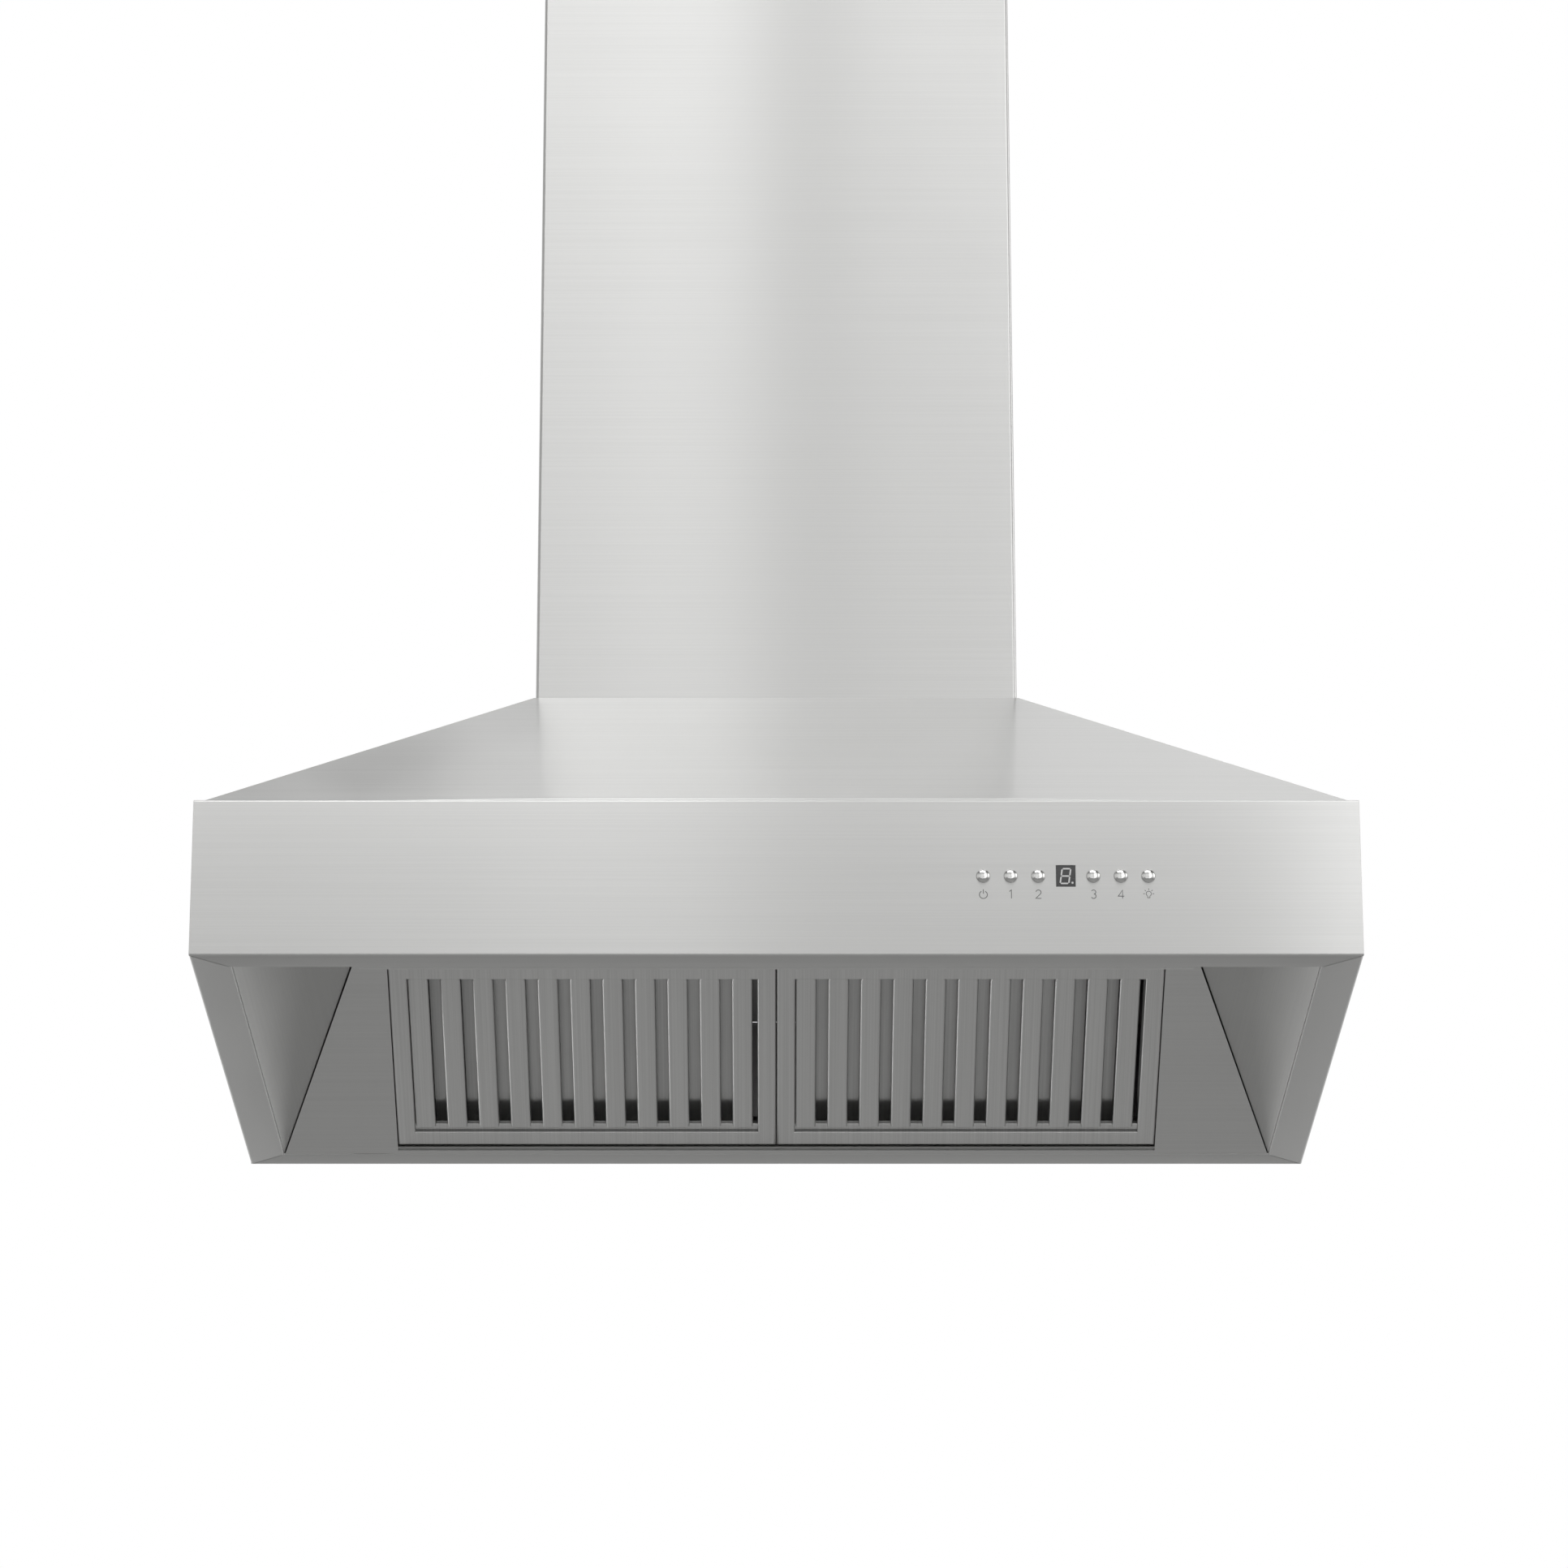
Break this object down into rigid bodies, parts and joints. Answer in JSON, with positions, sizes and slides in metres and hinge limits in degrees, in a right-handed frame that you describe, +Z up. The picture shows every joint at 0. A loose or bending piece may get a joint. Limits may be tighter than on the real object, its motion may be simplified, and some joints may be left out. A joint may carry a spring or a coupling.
{
  "type": "island range hood",
  "caption": "Ceiling-hung island range hood: stainless canopy with tilted baffle filters, front push buttons, centrifugal blower and telescopic chimney.",
  "frame": {"origin": "centre of the ceiling plate's upper face, at the middle of its four bolt holes", "axes": "+Z up towards the ceiling, -Y towards the face with the controls, +X to the right as seen from that face"},
  "size_m": [0.914, 0.6132, 1.16],
  "materials": {
    "stainless": "long horizontal satin grain",
    "liner_steel": "satin grain",
    "baffle_steel": "satin grain along the baffles",
    "galvanised": "galvanised sheet",
    "fastener": "zinc plated",
    "polished": "fine turned",
    "motor_paint": "semi-gloss black",
    "black_plastic": "matt",
    "white_plastic": "semi-gloss",
    "board_green": "solder mask",
    "lamp_lens": "frosted",
    "display_black": "smoked window"
  },
  "bodies": {
    "ceiling_side": {"ceiling_plate": "galvanised", "upper_tower_angles": "galvanised", "upper_chimney_cover": "stainless", "upper_chimney_back": "stainless", "upper_cover_screws": "fastener"},
    "hood": {"lower_tower_angles": "galvanised", "deck_plate": "galvanised", "plenum_box": "galvanised", "scroll_wall": "galvanised", "scroll_sides": "galvanised", "motor_bracket": "galvanised", "outlet_collar": "galvanised", "control_box": "galvanised", "junction_box": "galvanised", "junction_cover": "galvanised", "lower_chimney_cover": "stainless", "lower_chimney_back": "stainless", "canopy_top": "stainless", "front_fascia": "stainless", "rear_fascia": "stainless", "left_fascia": "stainless", "right_fascia": "stainless", "light_panel": "stainless", "lamp_bezels": "stainless", "liner_left": "liner_steel", "liner_right": "liner_steel", "liner_bank_front": "liner_steel", "liner_bank_rear": "liner_steel", "grease_troughs": "liner_steel", "tower_bolts": "fastener", "lower_cover_screws": "fastener", "damper_pin": "fastener", "filter_catches": "fastener", "motor": "motor_paint", "cable_gland": "black_plastic", "wiring_harness": "black_plastic", "led_driver": "white_plastic", "motor_capacitor": "white_plastic", "control_board": "board_green", "lamp_boards": "board_green", "lamp_lenses": "lamp_lens", "display_module": "display_black"},
    "impeller_wheel": {"impeller": "galvanised", "motor_shaft": "fastener"},
    "damper_front": {"damper_flap_front": "galvanised"},
    "damper_rear": {"damper_flap_rear": "galvanised"},
    "button_power_cap": {"button_power": "polished"},
    "button_1_cap": {"button_1": "polished"},
    "button_2_cap": {"button_2": "polished"},
    "button_3_cap": {"button_3": "polished"},
    "button_4_cap": {"button_4": "polished"},
    "button_lamp_cap": {"button_lamp": "polished"},
    "filter_front_left": {"filter_frame_front_left": "baffle_steel", "filter_baffles_front_left": "baffle_steel"},
    "filter_front_right": {"filter_frame_front_right": "baffle_steel", "filter_baffles_front_right": "baffle_steel"},
    "filter_rear_left": {"filter_frame_rear_left": "baffle_steel", "filter_baffles_rear_left": "baffle_steel"},
    "filter_rear_right": {"filter_frame_rear_right": "baffle_steel", "filter_baffles_rear_right": "baffle_steel"}
  },
  "joints": [
    {"name": "height_adjust", "type": "slide", "parent": "ceiling_side", "child": "hood", "axis": [0, 0, 1], "range_m": [-0.07, 0.1]},
    {"name": "impeller_spin", "type": "hinge", "parent": "hood", "child": "impeller_wheel", "pos_m": [0, 0, -0.746], "axis": [1, 0, 0], "continuous": true},
    {"name": "damper_front_swing", "type": "hinge", "parent": "hood", "child": "damper_front", "pos_m": [0, 0.042, -0.56], "axis": [-1, 0, 0], "range_deg": [0, 78]},
    {"name": "damper_rear_swing", "type": "hinge", "parent": "hood", "child": "damper_rear", "pos_m": [0, 0.042, -0.56], "axis": [1, 0, 0], "range_deg": [0, 78]},
    {"name": "button_power_press", "type": "slide", "parent": "hood", "child": "button_power_cap", "axis": [0, 1, 0], "range_m": [0, 0.0015], "stiffness_N_per_m": 900, "springref_m": -0.0006},
    {"name": "button_1_press", "type": "slide", "parent": "hood", "child": "button_1_cap", "axis": [0, 1, 0], "range_m": [0, 0.0015], "stiffness_N_per_m": 900, "springref_m": -0.0006},
    {"name": "button_2_press", "type": "slide", "parent": "hood", "child": "button_2_cap", "axis": [0, 1, 0], "range_m": [0, 0.0015], "stiffness_N_per_m": 900, "springref_m": -0.0006},
    {"name": "button_3_press", "type": "slide", "parent": "hood", "child": "button_3_cap", "axis": [0, 1, 0], "range_m": [0, 0.0015], "stiffness_N_per_m": 900, "springref_m": -0.0006},
    {"name": "button_4_press", "type": "slide", "parent": "hood", "child": "button_4_cap", "axis": [0, 1, 0], "range_m": [0, 0.0015], "stiffness_N_per_m": 900, "springref_m": -0.0006},
    {"name": "button_lamp_press", "type": "slide", "parent": "hood", "child": "button_lamp_cap", "axis": [0, 1, 0], "range_m": [0, 0.0015], "stiffness_N_per_m": 900, "springref_m": -0.0006},
    {"name": "filter_front_left_swing", "type": "hinge", "parent": "hood", "child": "filter_front_left", "pos_m": [0, -0.26381, -1.15139], "axis": [-1, 0, 0], "range_deg": [0, 75]},
    {"name": "filter_front_right_swing", "type": "hinge", "parent": "hood", "child": "filter_front_right", "pos_m": [0, -0.26381, -1.15139], "axis": [-1, 0, 0], "range_deg": [0, 75]},
    {"name": "filter_rear_left_swing", "type": "hinge", "parent": "hood", "child": "filter_rear_left", "pos_m": [0, 0.26381, -1.15139], "axis": [1, 0, 0], "range_deg": [0, 75]},
    {"name": "filter_rear_right_swing", "type": "hinge", "parent": "hood", "child": "filter_rear_right", "pos_m": [0, 0.26381, -1.15139], "axis": [1, 0, 0], "range_deg": [0, 75]}
  ]
}
